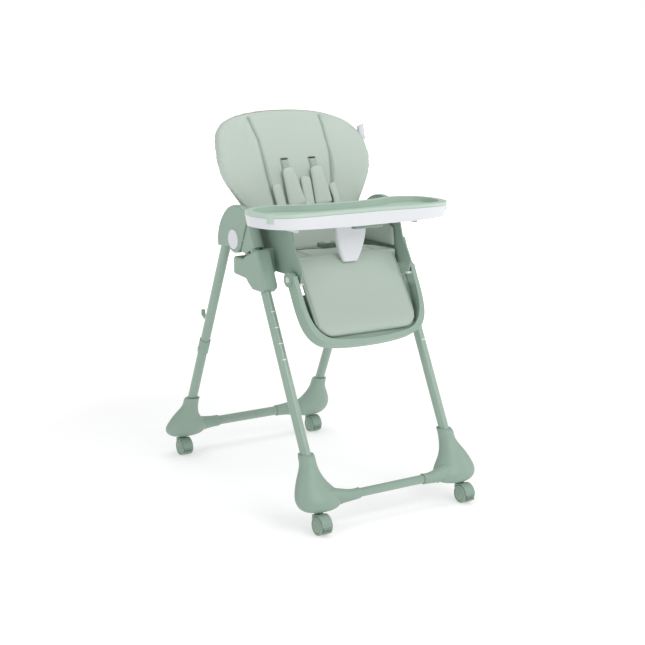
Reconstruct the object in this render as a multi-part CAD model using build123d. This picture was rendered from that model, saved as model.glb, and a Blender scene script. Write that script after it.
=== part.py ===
from build123d import *
import math
import os

# Folding baby high chair. Millimetres, +Z up, -Y is the front, X is across.
# The origin is on the floor, midway between the four feet, on the plane of symmetry.

# ---- overall frame -------------------------------------------------------------
leg_half_spacing = 228.0      # centre plane of each leg, from the middle of the chair
leg_radius = 14.0             # leg tubes, 28 mm steel
tube_wall = 1.5
pivot_y = 29.0                # folding pivot of the A-frame
pivot_z = 719.0
front_lean = 27.0             # degrees from vertical
rear_lean = 24.6
front_leg_offset = 70.4       # from the pivot to each leg's axis, square to the leg
rear_leg_offset = 59.1
leg_foot_height = 100.0       # lower end of the leg tubes, inside the feet
fit = 0.05                    # radial clearance of every running fit
touch_gap = 0.3               # between soft pieces and their neighbours

# ---- feet and casters ----------------------------------------------------------
foot_top_height = 192.0       # where the tube enters the foot
foot_cross_shift = 70.0       # cross tube, ahead of the tube's entry
cross_tube_height = 83.0
front_cross_radius = 12.0
rear_cross_radius = 14.0
foot_sleeve_reach = 123.0     # from the leg to the inner end of the foot's sleeve
foot_sleeve_end = leg_half_spacing - foot_sleeve_reach
foot_screw_reach = 70.0       # from the leg to the nearer of the sleeve's two screws
foot_sleeve_wall = 3.0
wheel_radius = 25.0
wheel_width = 14.0
wheel_gap = 9.0               # between the two wheels of a caster
caster_trail = 22.0
caster_offset = 6.0           # from the leg outwards
caster_x = leg_half_spacing + caster_offset
stem_radius = 5.0
hood_wall = 2.4
axle_radius = 3.0

# ---- hubs ----------------------------------------------------------------------
hub_wall = 5.0                # beside the leg tube
hub_inner_x = leg_half_spacing - leg_radius - hub_wall
hub_outer_x = leg_half_spacing + leg_radius + hub_wall
hub_split_x = leg_half_spacing  # between the inner plate and the outer dome
hub_play = 0.6
hub_disc_radius = 38.0
dome_front_offset = 41.0        # straight front edge of the dome, from the pivot
socket_play = 2.0               # between the dome and the block on the front leg
socket_wall = 10.0              # of that block in front of the leg
socket_radius = leg_radius + socket_wall
pin_radius = 8.0
button_radius = 27.5
button_travel = 3.5
collar_height = 371.0           # joint between the two lengths of a rear leg
hook_height = 448.0             # peg that stores the tray

# ---- seat ----------------------------------------------------------------------
seat_half_width = 178.0
seat_wall = 4.0
seat_floor_z = 644.0
seat_rim_z = 770.0
seat_front_y = -160.0
seat_back_y = 88.0
armrest_back_y = 26.0
carriage_lobe_wall = 10.0       # beside the leg, on the seat's side
carriage_split_x = leg_half_spacing - leg_radius - carriage_lobe_wall
carriage_box_z = 622.0          # bottom of a carriage's rear box
cushion_thickness = 40.0
side_pad_thickness = 11.0
side_pad_lift = 4.0             # above the cushion, to clear its crown
recline_y = 64.0
recline_z = 702.0
footrest_y = -182.0
footrest_z = 633.0
footrest_lean = 28.0
lever_inset = 14.0              # squeeze lever below each carriage, from the leg towards the seat
lever_x = leg_half_spacing - lever_inset
lever_y = 10.0
lever_thickness = 6.0
lever_travel = 3.0
buckle_y = -66.0
buckle_z = seat_floor_z + seat_wall / 2 + cushion_thickness + 10

# Footrest
lug_radius = 20.0
arm_play = 4.0                  # between the seat's wall and a footrest arm
arm_width = 18.0
arm_inner_x = seat_half_width + arm_play
arm_outer_x = arm_inner_x + arm_width
footrest_pin_x = arm_inner_x + 8  # outer end of the pivot pin
rest_length = 205.0
rim_front = 28.0                # the moulding's front and back edges, from the pivot's plane
rim_back = -10.0
rim_wall = 13.0
panel_thickness = 4.0
ledge_height = 44.0
rest_button_radius = 8.5

# ---- backrest ------------------------------------------------------------------
back_pad_thickness = 26.0
back_shell_thickness = 4.0
back_core_half_width = 202.0    # what passes between the hubs when the seat is lowered
pad_to_shell = 1.2              # air between the padding and the moulded panel
slot_half_spacing = 52.0        # shoulder strap slots
slot_height = 921.0

# ---- tray ----------------------------------------------------------------------
tray_half_width = 304.0
tray_front_y = -287.0
tray_bottom_z = 778.0
tray_rim_height = 36.0
tray_bottom_lift = 3.0        # the ends of the tray's lower edge, above its middle
tray_top_droop = 6.0          # the ends of its upper edge, below its middle
overlay_height = 9.0
overlay_gap = 0.7               # between the two trays
post_y = -178.0
latch_y = -262.0
latch_travel = 6.0
latch_tab = 5.0


def leg_point(lean, offset, height):
    """Y of a leg's axis at a height. Front legs have a negative offset and lean."""
    slope = math.tan(math.radians(lean))
    at_pivot = pivot_y + offset / math.cos(math.radians(lean))
    return at_pivot + (pivot_z - height) * slope


def front_y(height):
    return leg_point(-front_lean, -front_leg_offset, height)


def rear_y(height):
    return leg_point(rear_lean, rear_leg_offset, height)


def rod(start, end, radius):
    """A round bar between two points."""
    a = Vector(*start)
    b = Vector(*end)
    plane = Plane(origin=a, z_dir=(b - a))
    return plane * Cylinder(radius, (b - a).length, align=(Align.CENTER, Align.CENTER, Align.MIN))


def pipe(start, end, radius, wall):
    """A tube between two points."""
    return rod(start, end, radius) - rod(start, end, radius - wall)


def side_plate(outline, x_start, x_end):
    """A YZ face pushed along X between two planes."""
    return extrude(Plane.YZ.offset(x_start) * outline, x_end - x_start, dir=(1, 0, 0))


def x_rod(y, z, radius, x_start, x_end):
    return rod((x_start, y, z), (x_end, y, z), radius)


def rounded(points, radius):
    """A polygon with every corner rounded."""
    face = Polygon(*points, align=None)
    return fillet(face.vertices(), radius)


def both_sides(make):
    """A right-hand piece and its mirror image, as (side name, shape)."""
    right = make()
    return [("right", right), ("left", mirror(right, about=Plane.YZ))]


def save(name, shape):
    export_step(shape, f"parts/{name}.step")


def save_both(stem, make):
    for side, shape in both_sides(make):
        save(f"{stem}_{side}", shape)


def save_pair(name, make):
    """Two mirrored pieces that share a node."""
    save(name, Compound([solid for side, shape in both_sides(make) for solid in shape.solids()]))


# ---- feet ----------------------------------------------------------------------
# height, inner and outer edge from the leg's centre plane, shift towards the wheel, half depth
foot_sections = [
    (foot_top_height, -22, 20, 0, 21),
    (166, -23, 25, 14, 24),
    (141, -30, 39, 27, 28),
    (119, -44, 52, 39, 33),
    (100, -62, 60, 49, 37),
    (84, -72, 62, 57, 38),
    (68, -68, 54, 63, 34),
    (59, -46, 34, 66, 24),
]
foot_bottom_height = foot_sections[-1][0]


def cross_radius(front):
    return front_cross_radius if front else rear_cross_radius


def foot_y(front, shift):
    """Y of a foot section that lies a distance out from the tube's entry."""
    if front:
        return front_y(foot_top_height) - shift
    return rear_y(foot_top_height) + shift


def foot_shell(front):
    """Moulded foot: a boot that spreads from the leg to the caster, with a sleeve for the cross tube."""
    rings = Sketch() + [
        Pos(leg_half_spacing + (inner + outer) / 2, foot_y(front, shift), height)
        * Ellipse((outer - inner) / 2, half_depth)
        for height, inner, outer, shift, half_depth in foot_sections
    ]
    boot = loft(rings.faces())
    cross_y = foot_y(front, foot_cross_shift)
    sleeve_radius = cross_radius(front) + foot_sleeve_wall
    sleeve_rings = [
        (foot_sleeve_end, cross_y, cross_tube_height, sleeve_radius, sleeve_radius),
        (foot_sleeve_end + 40, cross_y, cross_tube_height, sleeve_radius + 2.5, sleeve_radius + 2.5),
        (leg_half_spacing - 38, foot_y(front, 62), cross_tube_height + 3, 24, 25),
        (leg_half_spacing - 3, foot_y(front, 58), cross_tube_height + 5, 28, 26),
    ]
    sleeve = loft([
        Plane(origin=(x, y, z), x_dir=(0, 1, 0), z_dir=(1, 0, 0)) * Ellipse(half_depth, half_height)
        for x, y, z, half_depth, half_height in sleeve_rings
    ])
    foot = boot + sleeve
    axis_y = front_y if front else rear_y
    foot -= rod(
        (leg_half_spacing, axis_y(leg_foot_height), leg_foot_height),
        (leg_half_spacing, axis_y(foot_top_height + 30), foot_top_height + 30),
        leg_radius,
    )
    foot -= x_rod(cross_y, cross_tube_height, cross_radius(front), 0, foot_sleeve_end + 30)
    foot -= Pos(caster_x, cross_y, foot_bottom_height - 5) * Cylinder(
        stem_radius + fit, 40, align=(Align.CENTER, Align.CENTER, Align.MIN))
    for x in (foot_sleeve_end + 8, leg_half_spacing - foot_screw_reach):
        foot -= Pos(x, cross_y, cross_tube_height - 40) * Cylinder(
            2.2, 40, align=(Align.CENTER, Align.CENTER, Align.MIN))
    return foot


def foot_screws(front):
    """Two self-tapping screws that hold the cross tube in a foot's sleeve, from below."""
    cross_y = foot_y(front, foot_cross_shift)
    screws = []
    for x, sink in ((foot_sleeve_end + 8, 3.0), (leg_half_spacing - foot_screw_reach, 9.0)):
        bottom = cross_tube_height - cross_radius(front) - sink
        screws.append(Pos(x, cross_y, bottom) * Cylinder(
            2.1, sink - 0.2, align=(Align.CENTER, Align.CENTER, Align.MIN)))
    return Compound([s.solid() for s in screws])


def leg_tube(axis_y, high, low):
    top = (leg_half_spacing, axis_y(high), high)
    bottom = (leg_half_spacing, axis_y(low), low)
    return pipe(bottom, top, leg_radius, tube_wall)


def cross_tube(front):
    reach = foot_sleeve_end + 30
    y = foot_y(front, foot_cross_shift)
    return pipe((-reach, y, cross_tube_height), (reach, y, cross_tube_height), cross_radius(front), tube_wall)


# ---- casters -------------------------------------------------------------------
brake_hinge_y = -27.4           # hinge of the brake tab, from the wheel's axle
brake_hinge_z = 0.4
brake_barrel_radius = 1.3
caster_half_width = wheel_gap / 2 + wheel_width
hood_radius = wheel_radius + 1.2 + hood_wall


def wedge(start, sweep, half_width):
    """A slice of the space around the X axis. Angles run from the front (-Y) over the top."""
    reach = 60.0
    angles = [math.radians(start + sweep * share) for share in (0, 0.25, 0.5, 0.75, 1)]
    rim = [(-reach * math.cos(angle), reach * math.sin(angle)) for angle in angles]
    return side_plate(Polygon((0, 0), *rim, align=None), -half_width, half_width)


def caster_hood():
    """Hood, centre web and stem of a twin-wheel caster, wheel axle at the origin."""
    half_width = caster_half_width - 3
    inner_radius = hood_radius - hood_wall
    hood = x_rod(0, 0, hood_radius, -half_width, half_width) & wedge(4, 150, 40)
    hood += Pos(0, caster_trail, 0) * Cylinder(
        9, hood_radius + 3, align=(Align.CENTER, Align.CENTER, Align.MIN))
    hood += Pos(0, caster_trail - 4, hood_radius - 9) * Box(2 * half_width, 14, 10)
    hood -= x_rod(0, 0, inner_radius, -60, 60)
    web = x_rod(0, 0, inner_radius + 1, -wheel_gap / 2 + 0.8, wheel_gap / 2 - 0.8)
    web &= wedge(8, 140, 40) + x_rod(0, 0, 11, -40, 40)
    web -= x_rod(0, 0, axle_radius + fit, -wheel_gap, wheel_gap)
    stem_bottom = hood_radius - 7
    stem_top = foot_bottom_height + 28 - wheel_radius
    stem = Pos(0, caster_trail, stem_bottom) * Cylinder(
        stem_radius, stem_top - stem_bottom, align=(Align.CENTER, Align.CENTER, Align.MIN))
    return hood + web + stem


def caster_wheels():
    """Two wheels on one axle, with dished outer faces."""
    inner_face = wheel_gap / 2
    outer_face = inner_face + wheel_width
    wheels = x_rod(0, 0, axle_radius, -outer_face + 3, outer_face - 3)
    for sign in (1, -1):
        disc = x_rod(0, 0, wheel_radius, sign * inner_face, sign * outer_face)
        outer_edge = disc.edges().filter_by(GeomType.CIRCLE).sort_by(Axis.X)[-1 if sign > 0 else 0]
        disc = fillet([outer_edge], 3)
        disc -= x_rod(0, 0, wheel_radius - 6, sign * (outer_face - 1.6), sign * (outer_face + 2))
        wheels += disc
    return wheels


def brake_lever():
    """Foot-operated brake tab below the hood's front edge."""
    half_width = caster_half_width - 7
    tab = x_rod(0, 0, hood_radius, -half_width, half_width) & wedge(-34, 34, 40)
    toe = Pos(0, -hood_radius - 1, -9) * Box(2 * half_width - 4, 7, 4)
    barrel = x_rod(brake_hinge_y, brake_hinge_z, brake_barrel_radius, -half_width, half_width)
    return tab + toe - x_rod(0, 0, hood_radius - hood_wall, -60, 60) + barrel


def save_casters():
    for front in (True, False):
        for side, sign in (("left", -1), ("right", 1)):
            stem_y = foot_y(front, foot_cross_shift)
            place = Pos(sign * caster_x, stem_y - caster_trail, wheel_radius)
            name = f"{'front' if front else 'rear'}_{side}"
            save(f"caster_hood_{name}", place * caster_hood())
            save(f"caster_wheels_{name}", place * caster_wheels())
            save(f"caster_brake_{name}", place * brake_lever())


# ---- hubs ----------------------------------------------------------------------
front_line = (-math.sin(math.radians(rear_lean)), math.cos(math.radians(rear_lean)))


def dome_front_point(distance, extra=0.0):
    """A point on the dome's straight front edge, or on a line parallel to it."""
    offset = dome_front_offset + extra
    y = pivot_y - offset * front_line[1] + distance * front_line[0]
    z = pivot_z + offset * front_line[0] + distance * front_line[1]
    return y, z


def front_hub():
    """Head of the front leg: a socket for the tube and a plate that carries the pivot."""
    low = dome_front_point(-14, socket_play)
    high = dome_front_point(92, socket_play)
    tube_line = front_y(pivot_z)
    block = rounded([
        low, (tube_line + 18, low[1] - 2), (tube_line - 34, pivot_z - 7),
        (tube_line - 24, pivot_z + 43), (high[0] - 14, high[1] + 2), high], 3)
    head = side_plate(block, hub_inner_x, hub_outer_x - 4)
    head = fillet(head.edges().group_by(Axis.X)[-1], 2.5)
    reach = 130
    rounding = rod(
        (leg_half_spacing, front_y(pivot_z - reach), pivot_z - reach),
        (leg_half_spacing, front_y(pivot_z + reach), pivot_z + reach), socket_radius)
    behind = side_plate(Polygon(
        (front_y(pivot_z - reach), pivot_z - reach), (front_y(pivot_z + reach), pivot_z + reach),
        (pivot_y + reach, pivot_z + reach), (pivot_y + reach, pivot_z - reach), align=None), 0, 300)
    head &= rounding + behind
    plate = Pos(pivot_y, pivot_z) * Circle(hub_disc_radius)
    plate += Polygon(
        (pivot_y, pivot_z + hub_disc_radius), (pivot_y, pivot_z - hub_disc_radius),
        (low[0] - 8, low[1] + 4), (high[0] - 10, high[1] - 12), align=None)
    head += side_plate(plate, hub_inner_x, hub_split_x - hub_play)
    head -= rod(
        (leg_half_spacing, front_y(600), 600), (leg_half_spacing, front_y(pivot_z + 12), pivot_z + 12),
        leg_radius)
    head -= x_rod(pivot_y, pivot_z, pin_radius, 0, 400)
    return head


def rear_hub():
    """Head of the rear leg: an outer dome around the folding button and a socket for the tube."""
    tangent = dome_front_point(0)
    front_top = dome_front_point(98)
    rear_top = (pivot_y + 62, pivot_z + 61)
    rear_low = (rear_y(pivot_z - 15) + 24, pivot_z - 15)
    corner = (rear_y(pivot_z - 29) + 14, pivot_z - 29)
    notch = (pivot_y + 30, pivot_z - 24)
    face = make_face([
        Line(tangent, front_top),
        ThreePointArc(front_top, (pivot_y - 10, pivot_z + 95), rear_top),
        ThreePointArc(rear_top, (pivot_y + 86, pivot_z + 26), rear_low),
        Line(rear_low, corner),
        Line(corner, notch),
        ThreePointArc(notch, (pivot_y - 4, pivot_z - 38), tangent),
    ])
    dome = side_plate(face, hub_split_x + hub_play, hub_outer_x)
    dome = fillet(dome.edges().group_by(Axis.X)[-1], 4)
    reach = leg_radius + 4
    low = pivot_z - 27
    high = pivot_z + 46
    wing = 1 / math.cos(math.radians(rear_lean))
    socket = side_plate(Polygon(
        (rear_y(low) - reach * wing, low), (rear_y(low) + reach * wing, low),
        (rear_y(high) + reach * wing, high), (rear_y(high) - reach * wing, high), align=None),
        hub_inner_x, hub_outer_x - 4)
    hub = dome + socket
    hub -= rod(
        (leg_half_spacing, rear_y(600), 600), (leg_half_spacing, rear_y(pivot_z + 30), pivot_z + 30),
        leg_radius)
    hub -= x_rod(pivot_y, pivot_z, pin_radius + fit, 0, hub_outer_x)
    hub -= x_rod(pivot_y, pivot_z, button_radius + 0.2, hub_outer_x - 9, hub_outer_x + 5)
    return hub


def hub_button():
    """Round button in the dome; pressing it frees the fold."""
    face = hub_outer_x + 3
    button = x_rod(pivot_y, pivot_z, button_radius, hub_outer_x - 9 + button_travel + 0.5, face)
    return fillet(button.edges().group_by(Axis.X)[-1], 2.5)


def hub_pin():
    return x_rod(pivot_y, pivot_z, pin_radius, hub_inner_x, hub_outer_x - 9.5)


# ---- rear leg details ----------------------------------------------------------
def along_rear_leg(height, distance):
    """A point on the rear leg's axis, a distance further down the leg."""
    z = height - distance * math.cos(math.radians(rear_lean))
    return leg_half_spacing, rear_y(z), z


def leg_collar():
    """Sleeve that joins the two lengths of a rear leg."""
    collar = pipe(
        along_rear_leg(collar_height, 22), along_rear_leg(collar_height, -22), leg_radius + 2.2, 2.2)
    bore_x = leg_half_spacing
    middle = along_rear_leg(collar_height, 8)
    collar -= x_rod(middle[1], middle[2], 4 + fit, bore_x, bore_x + 30)
    return collar


def snap_button():
    """Spring button that pokes out through a collar."""
    middle = along_rear_leg(collar_height, 8)
    return fillet(
        x_rod(middle[1], middle[2], 4, leg_half_spacing + 9, leg_half_spacing + leg_radius + 4.5)
        .edges().group_by(Axis.X)[-1], 1)


def rear_tube(high, low):
    tube = leg_tube(rear_y, high, low)
    middle = along_rear_leg(collar_height, 8)
    return tube - x_rod(middle[1], middle[2], 4 + fit, leg_half_spacing, leg_half_spacing + 30)


def tray_hook():
    """Peg behind a rear leg that the tray hangs on."""
    axis = along_rear_leg(hook_height, 0)
    lean = math.radians(rear_lean)
    back = (math.cos(lean), math.sin(lean))
    foot = (axis[0], axis[1] + (leg_radius + 0.1) * back[0], axis[2] + (leg_radius + 0.1) * back[1])
    tip = (foot[0], foot[1] + 26 * back[0], foot[2] + 26 * back[1])
    lip = (tip[0], tip[1], tip[2] + 14)
    peg = rod(foot, tip, 6) + rod(tip, lip, 6) + Pos(*tip) * Sphere(6)
    return peg


# ---- seat ----------------------------------------------------------------------
def seat_shell():
    """Bucket: two side walls, a floor, a low back and armrest flanges."""
    side = rounded([
        (seat_front_y - 2, seat_rim_z), (seat_front_y - 20, seat_floor_z + 74),
        (seat_front_y - 44, seat_floor_z + 44), (footrest_y - 40, seat_floor_z + 14),
        (footrest_y - 26, footrest_z - 14), (footrest_y, footrest_z - lug_radius + 4),
        (footrest_y + 34, seat_floor_z - 4), (seat_back_y, seat_floor_z - 4),
        (seat_back_y, seat_rim_z - 60), (seat_back_y - 8, seat_rim_z)], 4)
    wall = side_plate(side, seat_half_width - seat_wall, seat_half_width)
    flange = side_plate(rounded([
        (seat_front_y - 6, seat_rim_z - 3), (armrest_back_y, seat_rim_z - 3),
        (armrest_back_y, seat_rim_z + 3), (seat_front_y - 6, seat_rim_z + 3)], 2.5),
        seat_half_width - 12, seat_half_width + 10)
    recline_pin = x_rod(recline_y, recline_z, pin_radius, seat_half_width - 22, seat_half_width - 2)
    pivot_boss = x_rod(footrest_y, footrest_z, 13, seat_half_width - 2, arm_inner_x - touch_gap)
    pivot_pin = x_rod(footrest_y, footrest_z, pin_radius, seat_half_width, footrest_pin_x)
    half = wall + flange + recline_pin + pivot_boss + pivot_pin
    shell = half + mirror(half, about=Plane.YZ)
    inside = 2 * (seat_half_width - 1)
    floor_length = seat_back_y - seat_front_y
    shell += Pos(0, seat_front_y + floor_length / 2, seat_floor_z) * Box(inside, floor_length, seat_wall)
    shell += Pos(0, seat_back_y - seat_wall / 2, seat_floor_z + 16) * Box(inside, seat_wall, 36)
    for x in (-60, 0, 60):
        shell -= Pos(x, -40 if x == 0 else 10, seat_floor_z) * Box(30, 5, 20)
    return shell


def slider_housing():
    """Hollow carriage: a lobe that rides on a front leg, a box behind it and a web to the seat."""
    lobe_low = 593.0
    box = [(34, 672), (34, carriage_box_z), (-34, carriage_box_z - 4)]
    lobe = [
        (front_y(706) - 40, 706), (front_y(706) + 23, 682), (-20, 672), *box, (-48, 606), (-70, lobe_low),
        (front_y(lobe_low) - 10, lobe_low), (front_y(lobe_low) - 28, lobe_low + 14)]
    web = [
        (front_y(706) - 14, 706), (front_y(706) + 23, 682), (-20, 672), *box, (-58, 622), (-84, 640)]
    inner_x = seat_half_width + touch_gap
    outer_x = hub_outer_x - 1
    skin = side_plate(rounded(lobe, 8), carriage_split_x, outer_x)
    skin = fillet(skin.edges().group_by(Axis.X)[-1], 6)
    skin = fillet(skin.edges().group_by(Axis.X)[0], 6)
    joined = side_plate(rounded(web, 6), inner_x, carriage_split_x + 8)
    cavity = side_plate(offset(rounded(web, 6), -3), inner_x + 3, outer_x - 4)
    top = (leg_half_spacing, front_y(740), 740)
    bottom = (leg_half_spacing, front_y(560), 560)
    housing = skin + joined
    liner = rod(bottom, top, leg_radius + 2) & housing
    housing = (housing - cavity) + liner
    housing -= rod(bottom, top, leg_radius + fit)
    pocket_low = carriage_box_z - 6
    housing -= Pos(lever_x, lever_y, pocket_low) * Box(
        42, 36, 6 + lever_thickness + lever_travel + 1, align=(Align.CENTER, Align.CENTER, Align.MIN))
    return housing


def height_lever():
    """Squeeze lever set into the bottom of a carriage's box; lifting it frees the height latch."""
    low = carriage_box_z - 1
    paddle = Pos(lever_x, lever_y, low) * Box(
        40, 34, lever_thickness, align=(Align.CENTER, Align.CENTER, Align.MIN))
    paddle = fillet(paddle.edges().filter_by(Axis.Z), 6)
    return paddle + Pos(lever_x, lever_y, low) * Cylinder(
        3, 15, align=(Align.CENTER, Align.CENTER, Align.MIN))


def seat_cushion():
    half = seat_half_width - seat_wall - touch_gap - 4
    floor = seat_floor_z + seat_wall / 2 + touch_gap
    outline = rounded([
        (seat_front_y - 2, floor + 2), (seat_front_y - 2, floor + cushion_thickness),
        (-60, floor + cushion_thickness - 2), (12, floor + cushion_thickness - 12), (22, floor)], 1.5)
    pad = side_plate(outline, -half, half)
    return fillet(pad.edges().group_by(Axis.X)[0] + pad.edges().group_by(Axis.X)[-1], 1.2)


def seat_side_pad():
    """Padded lining of one side wall, between the cushion's front and the backrest."""
    outer = seat_half_width - seat_wall - touch_gap
    low = seat_floor_z + seat_wall / 2 + cushion_thickness + side_pad_lift
    outline = rounded([
        (seat_front_y + 8, low), (seat_front_y + 16, seat_rim_z - 26), (seat_front_y + 62, seat_rim_z - 8),
        (recline_y - 44, seat_rim_z - 8), (recline_y - 44, low)], 5)
    pad = side_plate(outline, outer - side_pad_thickness, outer)
    return fillet(pad.edges().group_by(Axis.X)[0], 3)


# ---- backrest ------------------------------------------------------------------
# The middle of the padding's front face, seen from the side, bottom to top.
back_curve = [(31, 697), (54, 790), (79, 874), (98, 935), (126, 985), (160, 1027), (205, 1076)]
# Half width of the padding by height.
back_widths = [
    (seat_half_width - 28, 697), (seat_half_width - 15, 755), (188, 797), (205, 823), (223, 851),
    (238, 880), (245, 912), (245, 936),
    (238, 975), (224, 1000), (200, 1020), (165, 1035), (105, 1047), (0, 1053)]
shell_widths = [
    (seat_half_width - 28, 690), (seat_half_width - 18, 755), (178, 790), (195, 830), (202, 880),
    (202, 930), (196, 975), (170, 1012),
    (110, 1034), (0, 1040)]


def back_band(near, far):
    """A curved slab across the chair, between two distances behind the padding's face."""
    front = Spline(*back_curve)
    ends = []
    for distance in (near, far):
        rim = []
        for step in range(17):
            spot = front @ (step / 16)
            along = front % (step / 16)
            rim.append((spot.X + along.Y * distance, spot.Y - along.X * distance))
        ends.append(rim)
    near_rim, far_rim = ends
    face = make_face([
        Spline(*near_rim), Line(near_rim[-1], far_rim[-1]),
        Spline(*reversed(far_rim)), Line(far_rim[0], near_rim[0])])
    return side_plate(face, -300, 300)


def front_outline(widths, depth_start=-120, depth_end=320):
    """The shape seen from the front, pushed through the chair from front to back."""
    right = [(half, z) for half, z in widths]
    left = [(-half, z) for half, z in reversed(widths[:-1])]
    face = make_face([Spline(*(right + left)), Line(left[-1], right[0])])
    solid = extrude(Plane.XZ * face, depth_end, both=True)
    return solid & Pos(0, (depth_start + depth_end) / 2, 900) * Box(800, depth_end - depth_start, 900)


def slab(half_width):
    return Pos(0, 100, 900) * Box(2 * half_width, 700, 900)


def back_pad():
    return back_band(0, back_pad_thickness) & front_outline(back_widths) & slab(back_core_half_width)


def back_wings():
    whole = back_band(0, back_pad_thickness) & front_outline(back_widths)
    return whole - slab(back_core_half_width)


def back_shell():
    """Moulded panel behind the padding, hung on the seat's recline pins."""
    near = back_pad_thickness + pad_to_shell
    panel = back_band(near, near + back_shell_thickness) & front_outline(shell_widths)
    lug_inner = seat_half_width - 20
    lug_outer = seat_half_width - seat_wall - 2
    lug = x_rod(recline_y, recline_z, 15, lug_inner, lug_outer)
    lug += Pos(lug_inner - 9, recline_y + 3, recline_z + 4) * Box(26, 8, 16)
    lug -= x_rod(recline_y, recline_z, pin_radius + fit, 0, 300)
    for side in (lug, mirror(lug, about=Plane.YZ)):
        panel += side
    for slot_x in (-slot_half_spacing, slot_half_spacing):
        panel -= Pos(slot_x, 100, slot_height) * Box(34, 120, 7)
    return panel


def recline_lever():
    """Squeeze handle behind the top of the backrest."""
    bar = Pos(0, 206, 985) * Rot(38, 0, 0) * Box(120, 12, 26)
    return fillet(bar.edges().filter_by(Axis.X), 5)


def strap_outline(x, low, high, half_width):
    return Pos(x, 60, (low + high) / 2) * Box(2 * half_width, 500, high - low)


def shoulder_pads():
    """Two soft sleeves on the shoulder straps."""
    sleeves = []
    for sign in (-1, 1):
        sleeve = back_band(-14, -2.6) & strap_outline(sign * 43, 797, 900, 20)
        sleeves += sleeve.solids()
    return Compound(sleeves)


def shoulder_straps():
    """Webbing from the slots, under the sleeves and down the backrest."""
    straps = []
    for sign in (-1, 1):
        strap = back_band(-2.2, -0.5) & strap_outline(sign * 46, 745, slot_height + 2, 12)
        straps += strap.solids()
    return Compound(straps)


def lap_straps():
    """Waist and crotch webbing that meet at the buckle."""
    top = seat_floor_z + seat_wall / 2 + cushion_thickness + 2
    inner_x = 38.0
    outer_x = seat_half_width - 36
    strap_middle = (inner_x + outer_x) / 2
    strap_length = (outer_x - inner_x) / math.cos(math.radians(28))
    pieces = []
    for sign in (-1, 1):
        outer = Pos(sign * strap_middle, -36, top + 11) * Rot(0, 0, sign * 28)
        pieces.append((outer * Box(strap_length, 2, 20)).solid())
    pieces.append((Pos(0, -108, top + 0.4) * Box(25, 50, 1.6)).solid())
    return Compound(pieces)


def buckle():
    """Release buckle of the five-point harness."""
    body = Pos(0, buckle_y, buckle_z) * Box(56, 32, 14)
    body = fillet(body.edges().filter_by(Axis.Z), 8)
    body = fillet(body.edges().group_by(Axis.Z)[-1], 2)
    return body - Pos(0, buckle_y, buckle_z + 4) * Cylinder(9.3, 8)


def buckle_button():
    return Pos(0, buckle_y, buckle_z + 5.4) * Cylinder(9, 5)


# ---- footrest ------------------------------------------------------------------
lean = math.radians(footrest_lean)
# Local frame: x across, y up along the panel, z out of its front face.
footrest_plane = Plane(
    origin=(0, footrest_y, footrest_z), x_dir=(1, 0, 0), z_dir=(0, -math.cos(lean), math.sin(lean)))
rest_widths = [
    (arm_outer_x - 2, 0), (arm_outer_x - 3, -60), (arm_outer_x - 6, -110), (arm_outer_x - 18, -155),
    (arm_outer_x - 45, -186), (arm_outer_x - 90, -199), (0, -rest_length)]


def rest_face(widths, trim):
    """The U-shaped outline, pulled in by a trim all round."""
    right = [(half - trim if half else 0, y + trim) for half, y in widths]
    left = [(-half, y) for half, y in reversed(right[:-1])]
    return make_face([Spline(*(right + left)), Line(left[-1], right[0])])


def footrest_frame():
    """U-shaped moulding with a back panel and a ledge for the feet."""
    body = extrude(footrest_plane.offset(rim_back) * rest_face(rest_widths, 0), rim_front - rim_back)
    pocket = extrude(
        footrest_plane.offset(rim_back + panel_thickness) * rest_face(rest_widths, rim_wall), 100)
    ledge_stop = footrest_plane * Pos(0, -rest_length + ledge_height / 2, 0) * Box(400, ledge_height, 2 * 12)
    body -= pocket - ledge_stop
    gap = footrest_plane * Pos(0, 22, 0) * Box(2 * arm_inner_x, 134, 200)
    body -= gap
    arm_ends = x_rod(footrest_y, footrest_z, lug_radius, -arm_outer_x, arm_outer_x)
    body += arm_ends - Pos(0, footrest_y, footrest_z) * Box(2 * arm_inner_x, 100, 100)
    body -= x_rod(footrest_y, footrest_z, pin_radius + fit, -footrest_pin_x - 1, footrest_pin_x + 1)
    for sign in (-1, 1):
        body -= x_rod(
            footrest_y, footrest_z, rest_button_radius + 0.2,
            sign * (footrest_pin_x + 0.5), sign * (arm_outer_x + 5))
    return body


def footrest_button():
    """Release button in the end of a footrest arm."""
    button = x_rod(footrest_y, footrest_z, rest_button_radius, footrest_pin_x + 4, arm_outer_x + 2)
    return fillet(button.edges().group_by(Axis.X)[-1], 1.2)


def calf_pad():
    """Cushion that lies in the footrest, below the seat's front edge."""
    outline = rest_face([
        (arm_inner_x - 22, 10), (arm_inner_x - 20, -40), (arm_inner_x - 20, -100), (arm_inner_x - 24, -128),
        (arm_inner_x - 42, -150), (arm_inner_x - 82, -156), (0, -157)], 0)
    thickness = rim_front + 4 - rim_back - panel_thickness - touch_gap
    base = footrest_plane.offset(rim_back + panel_thickness + touch_gap)
    return extrude(base * outline, thickness)


# ---- tray ----------------------------------------------------------------------
tray_outline = [
    (0, tray_front_y), (110, tray_front_y + 1), (tray_half_width - 104, tray_front_y + 7),
    (tray_half_width - 50, tray_front_y + 24), (tray_half_width - 18, tray_front_y + 52),
    (tray_half_width - 3, tray_front_y + 90), (tray_half_width, tray_front_y + 128),
    (tray_half_width - 8, tray_front_y + 164), (tray_half_width - 34, tray_front_y + 191),
    (tray_half_width - 76, tray_front_y + 203)]
tray_belly = [(tray_half_width - 124, tray_front_y + 198), (120, tray_front_y + 172), (60, tray_front_y + 156),
              (0, tray_front_y + 151)]


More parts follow.
